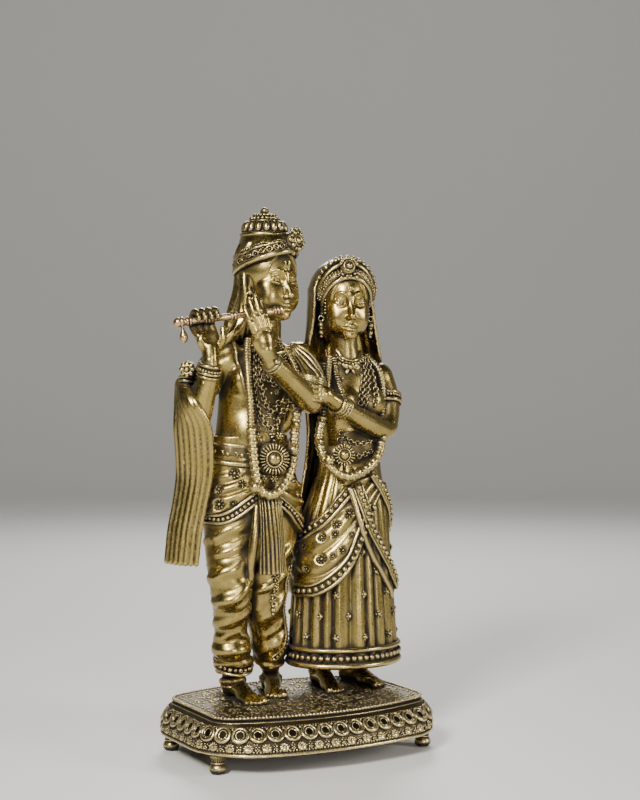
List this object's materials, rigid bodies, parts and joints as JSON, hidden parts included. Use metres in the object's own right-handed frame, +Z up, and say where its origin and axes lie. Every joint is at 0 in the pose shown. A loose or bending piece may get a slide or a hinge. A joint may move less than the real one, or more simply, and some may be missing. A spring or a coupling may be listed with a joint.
{
  "type": "divine couple statue",
  "caption": "Cast statue of a standing flute player and his companion, with garlands and pleated dress, on a footed plinth with a row of cups.",
  "frame": {"origin": "on the standing surface, under the middle of the plinth", "axes": "+Z up; the figures face -Y; +X is on the right hand of someone who looks at the front"},
  "size_m": [0.1261, 0.0956, 0.2542],
  "materials": {
    "antique_brass": "antique brass, satin on the high places, dark patina in the recesses",
    "dark_brass": "darker brass with heavy patina and rubbed bright ornaments"
  },
  "bodies": {
    "root": {"divine_couple": "antique_brass", "plinth": "dark_brass"}
  },
  "joints": []
}
